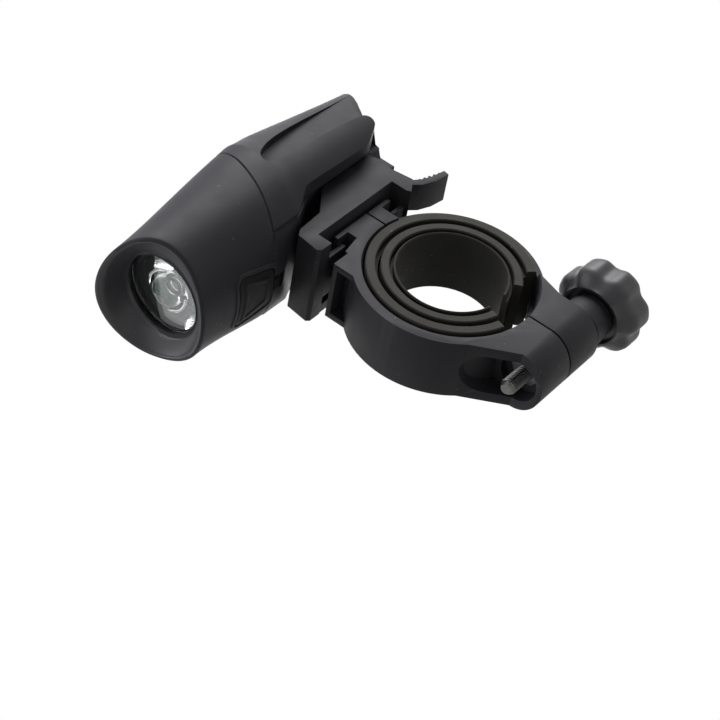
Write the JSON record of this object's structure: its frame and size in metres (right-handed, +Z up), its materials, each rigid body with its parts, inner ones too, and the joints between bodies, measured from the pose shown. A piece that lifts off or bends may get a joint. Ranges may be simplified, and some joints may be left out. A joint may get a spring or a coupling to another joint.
{
  "type": "bike headlight",
  "caption": "Rechargeable torch-type bicycle headlight that slides onto a shoe on a hinged, screw-tightened handlebar clamp with nested rubber shims.",
  "frame": {"origin": "centre of the clamp's bore, on the handlebar's axis", "axes": "+X forward along the beam, +Y along the handlebar, +Z up from the clamp to the light"},
  "size_m": [0.0918, 0.0394, 0.1036],
  "materials": {
    "satin_abs": "satin moulded ABS",
    "matt_nylon": "matt moulded nylon",
    "black_rubber": "matt moulded rubber",
    "clear_plastic": "polished clear",
    "circuit_board": "green solder mask",
    "led_phosphor": "clear dome over yellow phosphor",
    "aluminium": "turned",
    "zinc_steel": "bright zinc plate",
    "switch_plastic": "matt",
    "cell_sleeve": "shrink sleeve over a metal can"
  },
  "bodies": {
    "bracket": {"clamp_front_half": "matt_nylon", "outer_shim": "black_rubber", "middle_shim": "black_rubber", "inner_shim": "black_rubber", "bracket_shoe": "matt_nylon", "clamp_nut": "zinc_steel"},
    "light": {"head_shell": "satin_abs", "body_shell": "satin_abs", "seam_seal": "black_rubber", "front_lens": "clear_plastic", "lens_gasket": "black_rubber", "collimator": "clear_plastic", "optic_holder": "satin_abs", "led_board": "circuit_board", "led_emitter": "led_phosphor", "heat_spreader": "aluminium", "control_board": "circuit_board", "mode_switch": "switch_plastic", "charge_board": "circuit_board", "usb_port": "zinc_steel", "battery_cell": "cell_sleeve"},
    "button": {"power_button": "black_rubber"},
    "cover": {"port_cover": "black_rubber"},
    "tongue": {"release_tongue": "matt_nylon"},
    "rear_half": {"clamp_rear_half": "matt_nylon"},
    "collar": {"knob_collar": "matt_nylon"},
    "knob": {"clamp_knob": "matt_nylon", "clamp_screw": "zinc_steel"}
  },
  "joints": [
    {"name": "light_slide", "type": "slide", "parent": "bracket", "child": "light", "axis": [1, 0, 0], "range_m": [0, 0.032]},
    {"name": "button_press", "type": "slide", "parent": "light", "child": "button", "axis": [0, 0, -1], "range_m": [0, 0.0008], "stiffness_N_per_m": 1500},
    {"name": "cover_open", "type": "hinge", "parent": "light", "child": "cover", "pos_m": [0.03745, 0, 0.03102], "axis": [0, -1, 0], "range_deg": [0, 100]},
    {"name": "tongue_press", "type": "hinge", "parent": "bracket", "child": "tongue", "pos_m": [-0.0154, 0, 0.0301], "axis": [0, -1, 0], "range_deg": [0, 5], "stiffness_Nm_per_rad": 0.6},
    {"name": "knob_travel", "type": "slide", "parent": "bracket", "child": "collar", "axis": [-1, 0, 0], "range_m": [0, 0.00315]},
    {"name": "knob_turn", "type": "hinge", "parent": "collar", "child": "knob", "pos_m": [-0.02, 0, -0.0271], "axis": [-1, 0, 0], "range_deg": [0, 1620.5]},
    {"name": "clamp_open", "type": "hinge", "parent": "bracket", "child": "rear_half", "pos_m": [-0.0016, 0, 0.0257], "axis": [0, 1, 0], "range_deg": [0, 3.05]}
  ],
  "couplings": [
    {"joint": "knob_turn", "follows": "knob_travel", "rad_per_m": 8976},
    {"joint": "clamp_open", "follows": "knob_travel", "rad_per_m": 16.622}
  ]
}
